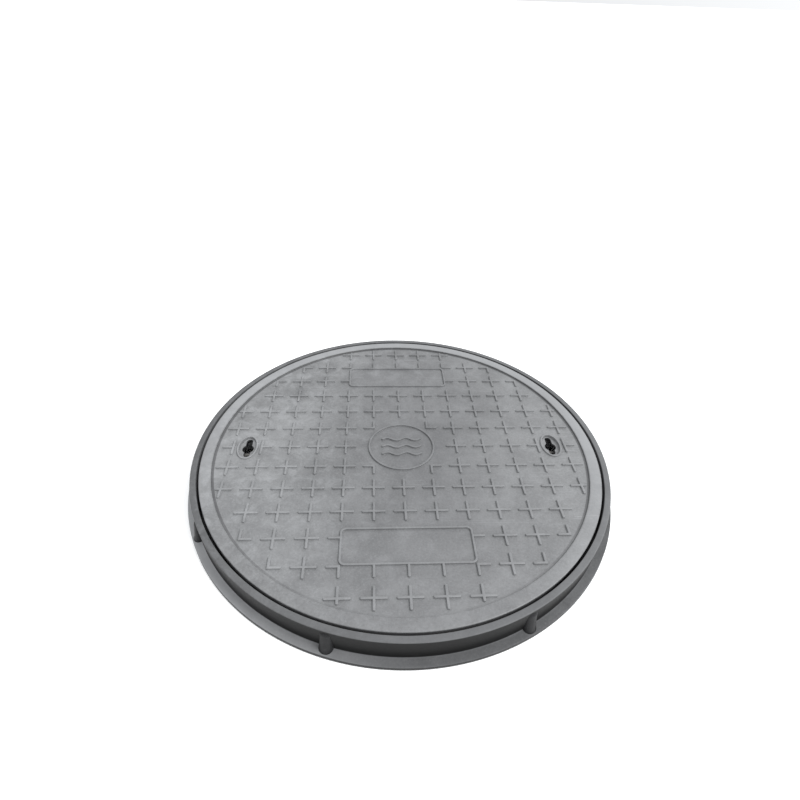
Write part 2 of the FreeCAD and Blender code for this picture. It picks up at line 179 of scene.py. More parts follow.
# ---------------------------------------------------------------- node trees as expressions
class Wire:
    """One output socket; arithmetic on it adds Math nodes to its tree."""

    def __init__(self, board, socket):
        self.board, self.socket = board, socket

    def __add__(self, other):
        return self.board.maths("ADD", self, other)

    __radd__ = __add__

    def __sub__(self, other):
        return self.board.maths("SUBTRACT", self, other)

    def __rsub__(self, other):
        return self.board.maths("SUBTRACT", other, self)

    def __mul__(self, other):
        return self.board.maths("MULTIPLY", self, other)

    __rmul__ = __mul__

    def __truediv__(self, other):
        return self.board.maths("DIVIDE", self, other)

    def __lt__(self, other):
        return self.board.maths("LESS_THAN", self, other)

    def __gt__(self, other):
        return self.board.maths("GREATER_THAN", self, other)

    def __abs__(self):
        return self.board.maths("ABSOLUTE", self)

    def __pow__(self, other):
        return self.board.maths("POWER", self, other)


class Board:
    """A node tree written as expressions."""

    def __init__(self, tree):
        self.tree = tree

    def feed(self, node, inputs):
        """Gives a node's sockets, by name or number, a value or a link each."""
        for key, value in inputs.items():
            if isinstance(value, Wire):
                self.tree.links.new(value.socket, node.inputs[key])
            else:
                node.inputs[key].default_value = value

    def node(self, kind, settings=None, inputs=None, output=0):
        """Adds a node: its settings first, then what goes into its sockets."""
        made = self.tree.nodes.new(kind)
        for name, value in (settings or {}).items():
            if name == "stops":
                self.fill_ramp(made.color_ramp, value)
            else:
                setattr(made, name, value)
        self.feed(made, inputs or {})
        return made if output is None else Wire(self, made.outputs[output])

    @staticmethod
    def fill_ramp(ramp, stops):
        while len(ramp.elements) < len(stops):
            ramp.elements.new(1.0)
        for element, (place, shade) in zip(ramp.elements, stops):
            element.position = place
            element.color = (shade, shade, shade, 1.0)

    def maths(self, operation, *values):
        return self.node("ShaderNodeMath", {"operation": operation}, dict(enumerate(values)))

    def clamp(self, value):
        return self.node("ShaderNodeClamp", inputs={0: value})

    def hypot(self, a, b):
        return self.maths("SQRT", a * a + b * b)

    def part(self, thing):
        """The mesh of an object, where it was modelled."""
        return self.node("GeometryNodeObjectInfo", {"transform_space": "ORIGINAL"},
                         {"Object": thing}, output="Geometry")

    def split(self, vector):
        parts = self.node("ShaderNodeSeparateXYZ", inputs={0: vector}, output=None)
        return [Wire(self, parts.outputs[i]) for i in range(3)]


# ---------------------------------------------------------------- mesh building
def arc(centre, radius, start, end, steps):
    """Points of an arc in a plane, angles in degrees."""
    turn = [math.radians(a) for a in np.linspace(start, end, steps + 1)]
    return [(centre[0] + radius * math.cos(a), centre[1] + radius * math.sin(a)) for a in turn]


def circle(radius, count=ROUND_STEPS, centre=(0.0, 0.0)):
    """Plan outline of a circle."""
    turn = np.linspace(0.0, math.tau, count, endpoint=False)
    return [(centre[0] + radius * math.cos(a), centre[1] + radius * math.sin(a)) for a in turn]


def traced(shape, grow, centre, count=96, reach=0.12, corners=0.0, halvings=36):
    """Plan outline of a shape, found along rays from its centre.

    shape(x, y, grow) is negative inside the outline; corners above 0 gathers rays at the diagonals.
    """
    turn = np.linspace(0.0, math.tau, count, endpoint=False)
    turn = turn + corners / 4 * np.sin(4 * turn)
    dx, dy = np.cos(turn), np.sin(turn)
    low, high = np.zeros(count), np.full(count, reach)
    for _ in range(halvings):
        middle = (low + high) / 2
        inside = shape(centre[0] + dx * middle, centre[1] + dy * middle, grow) < 0
        low, high = np.where(inside, middle, low), np.where(inside, high, middle)
    return list(zip(centre[0] + dx * low, centre[1] + dy * low))


def blended_max(a, b, softness):
    """The larger of two distances, with the corner between them rounded."""
    return np.maximum(a, b) + np.maximum(softness - np.abs(a - b), 0) ** 2 / (4 * softness)


def quarter_turn(steps):
    """Angles from 0 to a right angle."""
    return np.linspace(0, math.pi / 2, steps + 1)


def ring(bm, outline, level):
    return [bm.verts.new((x, y, level)) for x, y in outline]


def skin(bm, first, second, closed=True):
    """Smooth quads between two rings of equal length."""
    count = len(first)
    for i in range(count if closed else count - 1):
        j = (i + 1) % count
        bm.faces.new((first[i], first[j], second[j], second[i])).smooth = True


def stack(bm, rings, closed=True):
    for first, second in zip(rings, rings[1:]):
        skin(bm, first, second, closed)


def fill_between(bm, rings):
    """Flat facet set bounded by the outer ring, with the other rings left as holes."""
    edges = []
    for loop in rings:
        for i, vert in enumerate(loop):
            after = loop[(i + 1) % len(loop)]
            edges.append(bm.edges.get((vert, after)) or bm.edges.new((vert, after)))
    made = bmesh.ops.triangle_fill(bm, use_beauty=True, use_dissolve=False, edges=edges)
    for part in made["geom"]:
        if isinstance(part, bmesh.types.BMFace):
            part.smooth = False


def linked(name, data):
    """A new object, put in the scene."""
    made = bpy.data.objects.new(name, data)
    bpy.context.scene.collection.objects.link(made)
    return made


def kept_mesh(name, bm):
    """A new object with the mesh that was worked on."""
    mesh = bpy.data.meshes.new(name)
    bm.to_mesh(mesh)
    bm.free()
    return linked(name, mesh)


def finished(name, bm, material, body):
    """Closes a mesh up as one of the object's pieces and puts it on its body."""
    bmesh.ops.remove_doubles(bm, verts=bm.verts, dist=1e-6)
    bmesh.ops.recalc_face_normals(bm, faces=bm.faces)
    piece = kept_mesh(name, bm)
    piece.data.materials.append(material)
    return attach(piece, body)


def ridge_side(foot_half, top_half, height, sink=0.3 * MM, steps=2):
    """Half-section of a moulded ridge, from its buried foot to its top edge, as (offset, rise).

    A hollow fillet takes up 0.35 of the way in from foot to top, and a round nose 0.45 of it.
    """
    fillet, nose = 0.35 * (foot_half - top_half), 0.45 * (foot_half - top_half)
    side = [(foot_half, -sink), (foot_half, 0.0)]
    side += [(foot_half - fillet * math.sin(a), fillet * (1 - math.cos(a)))
             for a in quarter_turn(steps)[1:]]
    side += [(top_half + nose * math.cos(a), height - nose * (1 - math.sin(a)))
             for a in quarter_turn(steps)]
    return side


def ridge_ring(bm, outline_at, foot_half, top_half, height, level):
    """A closed ridge: outline_at(grow) is the plan outline at a distance from its middle line."""
    side = ridge_side(foot_half, top_half, height, steps=3)
    section = side + [(-offset, rise) for offset, rise in reversed(side)]
    rings = [ring(bm, outline_at(offset), level + rise) for offset, rise in section]
    stack(bm, rings + rings[:1])


def stroke(path, offset, cap_steps=6):
    """Closed plan outline round an open line of points, with round ends."""
    path = np.array(path)
    along = np.gradient(path, axis=0)
    along /= np.linalg.norm(along, axis=1)[:, None]
    normal = np.stack([-along[:, 1], along[:, 0]], axis=1)
    turns = np.linspace(math.pi / 2, -math.pi / 2, cap_steps + 1)[1:-1]
    end = [path[-1] + offset * (along[-1] * math.cos(t) + normal[-1] * math.sin(t)) for t in turns]
    start = [path[0] - offset * (along[0] * math.cos(t) + normal[0] * math.sin(t)) for t in turns]
    return [*(path + offset * normal), *end, *(path - offset * normal)[::-1], *start]


# ---------------------------------------------------------------- materials
def new_material(name):
    """A material with its board, its shader and the object's own coordinates."""
    material = bpy.data.materials.new(name)
    material.use_nodes = True
    board = Board(material.node_tree)
    shader = material.node_tree.nodes["Principled BSDF"]
    return material, board, shader, board.node("ShaderNodeTexCoord", output="Object")


def resin(name, finish, tone, shine, zones):
    """Grey moulded compound: clouds, mottling, speckle, scuffs, a painted shade darkening the
    middle and fine grain.

    zones lists (share, colour, radius low, radius high, level low, level high, fade) of rings in a
    colour of their own, with edges half a millimetre soft. A fade (per metre of X, per metre of Y,
    at the middle) scales the share across the cover, held between 0 and 1.
    """
    material, board, shader, place = new_material(name)

    def noise(scale, detail=3.0, roughness=0.55, warp=0.0, vector=place):
        return board.node("ShaderNodeTexNoise", {"noise_dimensions": "3D"},
                          {"Vector": vector, "Scale": scale, "Detail": detail,
                           "Roughness": roughness, "Distortion": warp})

    def ramp(value, *stops):
        return board.node("ShaderNodeValToRGB", {"stops": stops}, {0: value})

    def blend(factor, first, second):
        return board.node("ShaderNodeMix", {"data_type": "RGBA"},
                          {0: factor, 6: first, 7: second}, output=2)

    def flat(rgb, scale=1.0):
        return (*[min(1.0, part * scale) for part in rgb], 1.0)

    def within(value, low, high, soft=0.5 * MM):
        return board.clamp((value - low) / soft) * board.clamp((high - value) / soft)

    x, y, z = board.split(place)
    radius = board.hypot(x, y)
    clouds = noise(9.0, 4.0, 0.6, 0.5)
    mottle = noise(34.0, 5.0, 0.65, 0.5)
    speckle = noise(330.0, 4.0, 0.75)
    grain = noise(1800.0, 2.0, 0.6)
    stretched = board.node("ShaderNodeMapping", inputs={
        "Vector": place, "Rotation": (0.0, 0.0, 0.6), "Scale": (9.0, 160.0, 9.0)})
    scuffs = (ramp(noise(1.0, 3.0, 0.6, 0.6, stretched), (0.62, 0.0), (0.72, 1.0))
              * ramp(noise(4.5, 2.0, 0.5), (0.48, 0.0), (0.66, 1.0)))
    # Mottling grows stronger towards the left and back. Its pale share there is a painted sheen.
    mottle_and_sheen = 0.20 + 0.36 * board.clamp(0.2 - x / (400.0 * MM) + y / (900.0 * MM))
    # Painted shade: a broad darkening over the middle of the cover.
    shaded_middle = board.clamp(1.0 - board.hypot(x - 30.0 * MM, y * 0.38) / (250.0 * MM))
    base = blend(ramp(clouds, (0.34, 0.0), (0.66, 1.0)), flat(finish.resin, 0.84 * tone),
                 flat(finish.resin, 1.16 * tone))
    pale, dark = finish.resin_pale_and_sheen, finish.resin_dark_and_shade
    for share, tint, strength in (
            (ramp(mottle, (0.50, 0.0), (0.66, 1.0)) * mottle_and_sheen, pale, tone),
            (ramp(mottle, (0.30, 1.0), (0.48, 0.0)) * mottle_and_sheen * 0.7, dark, 2.0),
            (ramp(speckle, (0.52, 0.0), (0.70, 1.0)) * 0.32, pale, 1.1 * tone),
            (ramp(speckle, (0.30, 1.0), (0.47, 0.0)) * 0.30, dark, 1.8),
            (scuffs * 0.35, pale, 1.15 * tone),
            (shaded_middle * 0.42, dark, 2.0)):
        base = blend(share, base, flat(tint, strength))
    uneven = ramp(mottle, (0.25, 0.92), (0.65, 1.0))
    for share, tint, near, far, low, high, fade in zones:
        zone = within(radius, near, far) * within(z, low, high) * uneven
        if fade:
            zone = zone * board.clamp(x * fade[0] + y * fade[1] + fade[2])
        base = blend(zone * share, base, flat(tint))

    relief = mottle * 0.5 + speckle * 0.22 + grain * 0.05 - scuffs * 0.12
    board.feed(shader, {
        "Base Color": base,
        "Roughness": 0.26 + 0.16 * clouds + 0.14 * speckle - 0.08 * scuffs,
        "Specular IOR Level": shine,
        "Normal": board.node("ShaderNodeBump", inputs={
            "Strength": 0.4, "Distance": 0.5 * MM, "Height": relief})})
    return material


def plain(name, base, roughness, metallic, patina, patina_share):
    """Rubber or steel: a base colour broken up by a patina, with a fine grain."""
    material, board, shader, place = new_material(name)
    blotch = board.node("ShaderNodeTexNoise", inputs={
        "Vector": place, "Scale": 45.0, "Detail": 5.0, "Roughness": 0.65})
    fine = board.node("ShaderNodeTexNoise", inputs={"Vector": place, "Scale": 900.0, "Detail": 2.0})
    spread = board.node("ShaderNodeValToRGB", {"stops": ((0.48, 0.0), (0.68, 1.0))}, {0: blotch})
    mask = spread * patina_share
    board.feed(shader, {
        "Base Color": board.node("ShaderNodeMix", {"data_type": "RGBA"}, {
            0: mask, 6: (*base, 1.0), 7: (*patina, 1.0)}, output=2),
        "Roughness": roughness + 0.15 * fine + 0.2 * mask,
        "Normal": board.node("ShaderNodeBump", inputs={
            "Strength": 0.3, "Distance": 0.2 * MM, "Height": fine + blotch})})
    if metallic:
        board.feed(shader, {"Metallic": metallic - mask * metallic})
    return material


def shared_material(name):
    """The material of that name, made on first use."""
    found = bpy.data.materials.get(name)
    if found:
        return found
    scene = bpy.context.scene
    finish, lid, ring_sizes = scene.cover_finishes, scene.cover_lid, scene.cover_frame
    step, field = lid.field_radius, lid.top - lid.field_depth
    pale, dark, flange_painted_light, wall = finish.resin_pale_and_sheen, finish.resin_dark_and_shade, finish.flange_painted_light, finish.wall
    lid_zones = [
        # the field, the ridges' tops, the plain band, the step, the side, inside the keyholes
        # Painted sheen on the field, stronger towards the left and front.
        (0.12, pale, 0.0, step - 3.0 * MM, field - MM, 1.0, (-3.0, -1.2, -0.1)),
        # Painted highlights on the tops of the ridges, stronger towards the front and left.
        (0.22, pale, 0.0, step - 4.0 * MM, field + 1.9 * MM, 1.0, (-0.8, -1.6, 0.40)),
        # Painted sheen on the plain band, towards the right and back, with none at the front.
        (0.66, pale, step + 2.5 * MM, lid.radius - 1.5 * MM, field + MM, 1.0, (0.6, 2.8, 0.8)),
        # Painted shade in the step's corner, fading out towards the front.
        (0.62, dark, step - 3.4 * MM, step + 1.8 * MM, field - MM, lid.top - 0.6 * MM,
         (0.0, 5.0, 1.65)),
        # Painted shade on the lid's side in the gap, lighter towards the left.
        (0.50, dark, lid.radius - 4 * MM, 1.0, 0.0, lid.top - 1.2 * MM, (2.0, 0.0, 0.9)),
        # Painted shade inside the keyholes.
        (0.85, dark, 0.0, step - 20 * MM, lid.plate + 0.5 * MM, field - 3.3 * MM, None)]
    bore, flange, rim = ring_sizes.bore, ring_sizes.flange, ring_sizes.top
    flange_top, wall_low = ring_sizes.flange_edge - 1.0 * MM, ring_sizes.flange_root + 0.8 * MM
    frame_zones = [
        # the rim, the flange, the outside wall, the inside, the flange's edge
        (0.26, pale, 0.0, ring_sizes.wall_top + MM, rim - MM, 1.0, (0.9, 0.0, 0.6)),
        # Painted light on the flange, strongest to the left and back, where the wall's shadow
        # falls.
        (0.70, flange_painted_light, ring_sizes.wall_foot, flange + MM, flange_top, wall_low, (-2.4, 0.8, 0.32)),
        # Painted shade on the outside wall.
        (1.05, wall, bore + 4 * MM, flange - 2.5 * MM, wall_low, rim - 1.2 * MM, None),
        # Painted shade inside the ring and in the gap, lighter towards the left.
        (0.45, dark, 0.0, bore + 2 * MM, -1.0, rim - 1.0 * MM, (2.0, 0.0, 0.7)),
        # Painted shade on the flange's outer edge.
        (0.85, wall, flange - 0.8 * MM, 1.0, -1.0, flange_top, None)]
    makers = {
        "lid_resin": lambda: resin(name, finish, 1.0, 0.5, lid_zones),
        "frame_resin": lambda: resin(name, finish, 0.54, 0.08, frame_zones),
        # The lugs get a very low tone: painted shade, as on the frame's outside wall.
        "lug_resin_shaded": lambda: resin(name, finish, 0.09, 0.1, []),
        "seat_rubber": lambda: plain(name, finish.rubber, 0.62, 0.0, (0.10, 0.10, 0.10), 0.35),
        "bar_steel": lambda: plain(name, finish.steel, 0.42, 0.9, finish.rust, 0.8),
    }
    return makers[name]()


# ---------------------------------------------------------------- keyhole outlines
def keyhole_lip(sizes, middle):
    """Plan outline of the oval lip's middle line, grown by a distance."""
    half_width = sizes.half_width - sizes.lip / 2
    half_length = sizes.half_length - sizes.lip / 2

    def shape(x, y, grow):
        return np.hypot((x - middle) / (half_width + grow), y / (half_length + grow)) - 1
    return shape


def keyhole_hole(sizes, middle):
    """A slot with round ends and a wider round middle."""
    def shape(x, y, grow):
        wide = np.hypot(x - middle, y) - sizes.wide
        narrow = np.hypot(x - middle, y - np.clip(y, -sizes.front, sizes.rear)) - sizes.narrow
        return np.minimum(wide, narrow) - grow
    return shape


def pocket_cell(low, high, rim_radius, softness=7.0 * MM):
    """A rectangle in plan with rounded corners, cut off by the rim's circle."""
    centre = ((low[0] + high[0]) / 2, (low[1] + high[1]) / 2)
    half = ((high[0] - low[0]) / 2, (high[1] - low[1]) / 2)

    def shape(x, y, grow):
        across = np.abs(x - centre[0]) - half[0] - grow
        along = np.abs(y - centre[1]) - half[1] - grow
        rim = np.hypot(x, y) - rim_radius - grow
        return blended_max(blended_max(across, along, softness), rim, softness)
    return shape


# ---------------------------------------------------------------- the lid
def under_cells(lid, key):
    """The pockets between the ribs: (low corner, high corner) of each, key pockets left out."""
    half = (lid.rib_pitch - lid.rib_width) / 2
    last = int(lid.rim_radius / lid.rib_pitch)
    boss_side = key.offset - key.pocket_width - key.boss_wall
    last_rib = half + (last - 1) * lid.rib_pitch + lid.rib_width
    cells = []
    for column in range(-last, last + 1):
        for row in range(-last, last + 1):
            cx, cy = column * lid.rib_pitch, row * lid.rib_pitch
            if math.hypot(cx, cy) > lid.rim_radius - 6 * MM:
                continue
            x_low, x_high = cx - half, cx + half
            if abs(column) == last and row == 0:
                x_low, x_high = sorted(math.copysign(x, column) for x in (last_rib, boss_side))
            cells.append(((x_low, cy - half), (x_high, cy + half)))
    return cells


def cell_centre(low, high, rim_radius):
    """A point well inside a cell that the rim may cut off, found on a fine grid over it."""
    xs, ys = np.meshgrid(*(np.linspace(low[i], high[i], 41) for i in range(2)))
    room = np.minimum.reduce([xs - low[0], high[0] - xs, ys - low[1], high[1] - ys,
                              rim_radius - np.hypot(xs, ys)])
    best = room > room.max() - 2 * MM
    return float(xs[best].mean()), float(ys[best].mean())


def pocket_rings(bm, shape, centre, mouth, roof, draft=1.5 * MM, fillet=4.0 * MM, lip=1.0 * MM):
    """Rings from a pocket's rounded mouth up its drafted wall to the fillet under the roof."""
    steps = [(lip * (1 - math.sin(a)), lip * (1 - math.cos(a))) for a in quarter_turn(3)]
    steps += [(-draft - fillet * (1 - math.cos(a)), roof - mouth - fillet * (1 - math.sin(a)))
              for a in quarter_turn(4)]
    return [ring(bm, traced(shape, grow, centre, corners=0.75), mouth + rise)
            for grow, rise in steps]


def keyhole_rings(bm, lid, key, middle):
    """Rings of one keyhole: over the lip and dish, through the hole, to the pocket's mouth."""
    field = lid.top - lid.field_depth
    lip, hole = keyhole_lip(key, middle), keyhole_hole(key, middle)
    centre = (middle, 0.0)
    floor = field - key.dish
    roof = lid.plate + 1.0 * MM
    side = ridge_side(key.lip / 2 + 0.1 * MM, key.lip / 2 - 1.2 * MM, key.lip_height, steps=3)[1:]
    rings = [ring(bm, traced(lip, offset, centre), field + rise) for offset, rise in side]
    rings += [ring(bm, traced(lip, -offset, centre), field + rise)
              for offset, rise in reversed(side[2:])]
    inner = side[2][0]
    dish = [(-inner - 0.10 * MM, floor + 0.7 * MM), (-inner - 0.25 * MM, floor + 0.15 * MM),
            (-inner - 0.45 * MM, floor)]
    rings += [ring(bm, traced(lip, grow, centre), level) for grow, level in dish]
    nose = 0.6 * MM
    rings += [ring(bm, traced(hole, nose * (1 - math.sin(a)), centre),
                   floor - nose * (1 - math.cos(a))) for a in quarter_turn(4)]
    rings.append(ring(bm, traced(hole, 0.2 * MM, centre), roof))
    low = (middle - key.pocket_width, -key.pocket_length)
    high = (middle + key.pocket_width, key.pocket_length)
    pocket = pocket_cell(low, high, lid.radius, 4.0 * MM)
    for grow, level in ((-1.6 * MM, roof), (-0.5 * MM, roof - 0.5 * MM), (0.0, roof - 1.6 * MM),
                        (0.6 * MM, lid.foot + 1.0 * MM), (0.9 * MM, lid.foot + 0.3 * MM),
                        (1.6 * MM, lid.foot)):
        rings.append(ring(bm, traced(pocket, grow, centre), level))
    return rings


class Step:
    """What every step of the build has: build(scene) does the work on the scene's sizes."""

    def execute(self, context):
        self.build(context.scene)
        return {"FINISHED"}


class COVER_OT_lid_moulding(Step, bpy.types.Operator):
    """Moulded disc with its sunk field, plain band, keyholes and ribbed underside"""
    bl_idname = "cover.lid_moulding"
    bl_label = "Lid moulding"

    def build(self, scene):
        lid, key = scene.cover_lid, scene.cover_keyhole
        field = lid.top - lid.field_depth
        bm = bmesh.new()
        step, nose = 0.7 * MM, lid.edge
        foot_radius, foot_nose = lid.radius - lid.draft, 1.2 * MM
        edge = arc((lid.field_radius, field + step), step, -90, 0, 3)
        edge += arc((lid.field_radius + 2 * step + 0.3 * MM, lid.top - step), step, 180, 90, 3)
        edge += arc((lid.radius - nose, lid.top - nose), nose, 90, 0, 5)
        edge += arc((foot_radius - foot_nose, lid.foot + foot_nose), foot_nose, 0, -90, 3)
        outside = [ring(bm, circle(r), z) for r, z in edge]
        stack(bm, outside)
        top_loops, under_loops = [outside[0]], [outside[-1]]
        for side in (-1, 1):
            rings = keyhole_rings(bm, lid, key, side * key.offset)
            stack(bm, rings)
            top_loops.append(rings[0])
            under_loops.append(rings[-1])
        for low, high in under_cells(lid, key):
            shape = pocket_cell(low, high, lid.rim_radius)
            centre = cell_centre(low, high, lid.rim_radius)
            rings = pocket_rings(bm, shape, centre, lid.foot, lid.plate)
            stack(bm, rings)
            bm.faces.new(rings[-1])
            under_loops.append(rings[0])
        fill_between(bm, top_loops)
        fill_between(bm, under_loops)
        piece = finished("lid_moulding", bm, shared_material("lid_resin"), "lid_body")
        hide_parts("lid")


# ---------------------------------------------------------------- the tread
def quarter_piece(tread, name, length=None):
    """A quarter of a cross, mitred to its neighbours: an arm of that length along +X, or none."""
    bm = bmesh.new()
    rows = []
    for offset, rise in ridge_side(tread.foot_half, tread.top_half, tread.height):
        end = []
        if length:
            tip, corner = length + offset - tread.foot_half, 0.6 * offset
            end = [*arc((tip - corner, corner - offset), corner, -90, 0, 2),
                   *arc((tip - corner, offset - corner), corner, 0, 90, 2)]
        rows.append(ring(bm, [(offset, -offset), *end, (offset, offset)], rise))
    stack(bm, rows, closed=False)
    bm.faces.new([bm.verts.new((0, 0, tread.height)), *rows[-1]])
    bm.faces.new([bm.verts.new((0, 0, rows[0][0].co.z)), *reversed(rows[0])])
    return kept_mesh(name, bm)


def new_tree(name, inputs):
    """A Geometry Nodes tree with named inputs; gives the board, the input wires and the tree."""
    tree = bpy.data.node_groups.new(name, "GeometryNodeTree")
    tree.interface.new_socket("Geometry", in_out="INPUT", socket_type="NodeSocketGeometry")
    tree.interface.new_socket("Geometry", in_out="OUTPUT", socket_type="NodeSocketGeometry")
    for label, kind in inputs.items():
        tree.interface.new_socket(label, in_out="INPUT", socket_type=kind)
    board = Board(tree)
    entry = tree.nodes.new("NodeGroupInput")
    return board, {label: Wire(board, entry.outputs[label]) for label in inputs}, tree


def close_tree(board, geometry, material, merge=0.01 * MM):
    """Realize Instances, weld, Set Material, output."""
    solid = board.node("GeometryNodeRealizeInstances", inputs={0: geometry})
    welded = board.node("GeometryNodeMergeByDistance", inputs={
        "Geometry": solid, "Distance": merge})
    painted = board.node("GeometryNodeSetMaterial", inputs={
        "Geometry": welded, "Material": material})
    board.node("NodeGroupOutput", inputs={0: painted}, output=None)


def grown(name, tree, values, body):
    """Runs a tree on an empty mesh and keeps the result as a plain piece on a body."""
    carrier = linked(f"{name}_carrier", bpy.data.meshes.new(name))
    modifier = carrier.modifiers.new(name, "NODES")
    modifier.node_group = tree
    for item in tree.interface.items_tree:
        if item.in_out == "INPUT" and item.name in values:
            modifier[item.identifier] = values[item.name]
    depsgraph = bpy.context.evaluated_depsgraph_get()
    mesh = bpy.data.meshes.new_from_object(carrier.evaluated_get(depsgraph))
    mesh.name = name
    carrier.modifiers.remove(modifier)
    bpy.data.objects.remove(carrier)
    piece = linked(name, mesh)
    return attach(piece, body)


def tread_tree():
    """Crosses on a square grid, each arm left out where its tip would meet something."""
    lengths = ("Pitch", "Arm", "Short arm", "Level", "Limit", "Last centre", "Badge",
               "Panel half width", "Panel near", "Panel far", "Keyhole offset",
               "Keyhole half width", "Keyhole half length")
    pieces = ("Arm piece", "Short piece", "Stump piece")
    inputs = {label: "NodeSocketFloat" for label in lengths}
    inputs |= {label: "NodeSocketObject" for label in pieces}
    inputs |= {"Count": "NodeSocketInt", "Material": "NodeSocketMaterial"}
    board, given, tree = new_tree("cross_tread", inputs)
    side = given["Pitch"] * (given["Count"] - 1)
    grid = board.node("GeometryNodeMeshGrid", inputs={
        "Size X": side, "Size Y": side, "Vertices X": given["Count"], "Vertices Y": given["Count"]})
    lift = board.node("ShaderNodeCombineXYZ", inputs={"Z": given["Level"]})
    points = board.node("GeometryNodeSetPosition", inputs={"Geometry": grid, "Offset": lift})
    x, y, _ = board.split(board.node("GeometryNodeInputPosition"))

    def tip(quarter, length):
        """Two answers on an arm's tip, 1 or 0: is it inside the rim, and is the place clear."""
        turn = math.pi / 2 * quarter
        px, py = x + length * math.cos(turn), y + length * math.sin(turn)
        reach = board.hypot(px, py)
        in_panel = ((abs(px) < given["Panel half width"]) * (abs(py) > given["Panel near"])
                    * (abs(py) < given["Panel far"]))
        at_keyhole = ((abs(abs(px) - given["Keyhole offset"]) < given["Keyhole half width"])
                      * (abs(py) < given["Keyhole half length"]))
        return reach < given["Limit"], (reach > given["Badge"]) * (1 - in_panel) * (1 - at_keyhole)

    reach = board.hypot(x, y)
    standing = (reach < given["Last centre"]) * (reach > given["Badge"])
    choices = []
    for quarter in range(4):
        inside, clear = tip(quarter, given["Arm"])
        short_inside, short_clear = tip(quarter, given["Short arm"])
        whole = inside * clear
        short = (1 - inside) * short_inside * short_clear
        choices.append((whole, short, 1 - whole - short))
    bare = math.prod(stump for *_, stump in choices)
    standing = standing * (bare < 0.5)
    parts = [board.part(given[label]) for label in pieces]
    joined = board.tree.nodes.new("GeometryNodeJoinGeometry")
    for quarter, answers in enumerate(choices):
        for part, chosen in zip(parts, answers):
            placed = board.node("GeometryNodeInstanceOnPoints", inputs={
                "Points": points, "Selection": chosen * standing, "Instance": part,
                "Rotation": (0.0, 0.0, math.pi / 2 * quarter)})
            board.feed(joined, {0: placed})
    close_tree(board, Wire(board, joined.outputs[0]), given["Material"])
    return tree


class COVER_OT_tread(Step, bpy.types.Operator):
    """Raised crosses over the field"""
    bl_idname = "cover.tread"
    bl_label = "Cross tread"

    def build(self, scene):
        lid, tread = scene.cover_lid, scene.cover_tread
        outline, key = scene.cover_outline, scene.cover_keyhole
        parts = {"Arm piece": quarter_piece(tread, "tread_arm", tread.arm),
                 "Short piece": quarter_piece(tread, "tread_short_arm", tread.short_arm),
                 "Stump piece": quarter_piece(tread, "tread_stump")}
        clear = 2.0 * MM
        piece = grown("cross_tread", tread_tree(), {
            "Pitch": tread.pitch, "Arm": tread.arm, "Short arm": tread.short_arm,
            "Level": lid.top - lid.field_depth,
            "Limit": tread.limit, "Last centre": tread.last_centre, "Badge": outline.badge + clear,
            "Panel half width": outline.half_width + clear, "Panel near": outline.near - clear,
            "Panel far": outline.far + clear, "Keyhole offset": key.offset,
            "Keyhole half width": key.half_width + clear / 2,
            "Keyhole half length": key.half_length + clear / 2, "Count": tread.count,
            "Material": shared_material("lid_resin"), **parts}, "lid_body")
        piece.data.set_sharp_from_angle(angle=math.radians(60))
        for part in parts.values():
            bpy.data.objects.remove(part)


class COVER_OT_outlines(Step, bpy.types.Operator):
    """Ridges round the two plain panels"""
    bl_idname = "cover.outlines"
    bl_label = "Panel outlines"

    def build(self, scene):
        lid, sizes = scene.cover_lid, scene.cover_outline
        level = lid.top - lid.field_depth
        half = sizes.ridge / 2
        middle = (sizes.near + sizes.far) / 2
        bm = bmesh.new()
        for side in (-1, 1):
            def shape(x, y, grow, side=side):
                corner = sizes.corner - half
                across = np.abs(x) - (sizes.half_width - half - corner)
                along = np.abs(y - side * middle) - ((sizes.far - sizes.near) / 2 - half - corner)
                outside = np.hypot(np.maximum(across, 0), np.maximum(along, 0))
                return outside + np.minimum(np.maximum(across, along), 0) - corner - grow

            def outline_at(grow, shape=shape, side=side):
                return traced(shape, grow, (0.0, side * middle), count=480, reach=0.2)
            ridge_ring(bm, outline_at, half, half - RIDGE_SLOPE, sizes.height, level)
        finished("panel_outlines", bm, shared_material("lid_resin"), "lid_body")


class COVER_OT_badge(Step, bpy.types.Operator):
    """Badge ring with three plain wave bars"""
    bl_idname = "cover.badge"
    bl_label = "Badge"

    def build(self, scene):
        lid, sizes = scene.cover_lid, scene.cover_outline
        level = lid.top - lid.field_depth
        half = sizes.ridge / 2
        bm = bmesh.new()
        ridge_ring(bm, lambda grow: circle(sizes.badge - half + grow, ROUND_STEPS // 2), half,
                   half - RIDGE_SLOPE, sizes.height, level)
        length = sizes.wave_length
        along = np.linspace(-length, length, 49)
        rise = sizes.wave_height * np.sin(math.tau * (along + length) / length)
        side = ridge_side(half + 0.3 * MM, half + 0.3 * MM - RIDGE_SLOPE, sizes.height, steps=3)
        for bar in (-1, 0, 1):
            path = list(zip(along, rise + bar * sizes.wave_gap))
            rings = [ring(bm, stroke(path, offset), level + lift) for offset, lift in side]
            stack(bm, rings)
            fill_between(bm, [rings[-1]])
            fill_between(bm, [rings[0]])
        finished("badge", bm, shared_material("lid_resin"), "lid_body")


